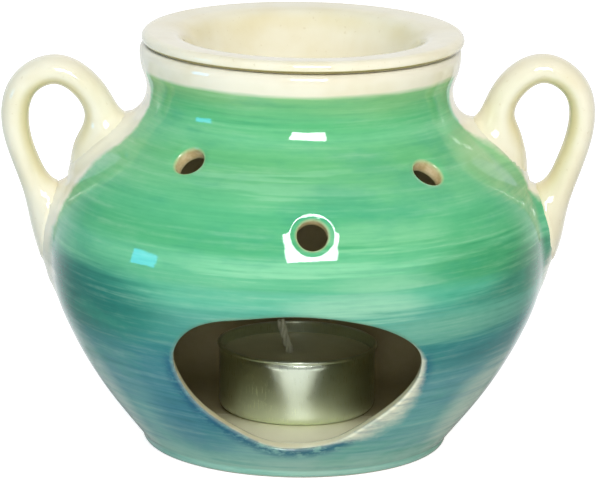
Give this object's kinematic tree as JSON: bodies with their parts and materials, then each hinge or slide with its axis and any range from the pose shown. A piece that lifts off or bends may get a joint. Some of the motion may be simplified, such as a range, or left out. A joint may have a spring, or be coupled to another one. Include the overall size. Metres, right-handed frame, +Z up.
{
  "type": "essential oil burner",
  "caption": "Thrown ceramic oil burner: round pot with a window, vents and pulled loop handles, a loose oil dish on its rim and a tealight inside.",
  "frame": {"origin": "centre of the flat foot, on the surface that the pot stands on", "axes": "+Z up along the pot's turned axis, -Y out through the window, +X along the handle on the right as seen from the window"},
  "size_m": [0.1396, 0.1172, 0.0985],
  "materials": {
    "painted_glaze": "gloss",
    "cream_glaze": "gloss",
    "dish_glaze": "gloss",
    "foil": "satin",
    "wax": "satin",
    "cotton": "matte",
    "tinned_tab": "satin"
  },
  "bodies": {
    "pot": {"burner_body": "painted_glaze", "left_handle": "cream_glaze", "right_handle": "cream_glaze"},
    "dish": {"oil_bowl": "dish_glaze"},
    "tealight": {"candle_cup": "foil", "candle_wax": "wax", "candle_wick": "cotton", "wick_sustainer": "tinned_tab"}
  },
  "joints": [
    {"name": "dish_lift", "type": "slide", "parent": "pot", "child": "dish", "axis": [0, 0, 1], "range_m": [0, 0.06]},
    {"name": "tealight_slide_out", "type": "slide", "parent": "pot", "child": "tealight", "axis": [0, -0.9701, 0.2425], "range_m": [0, 0.088]}
  ]
}
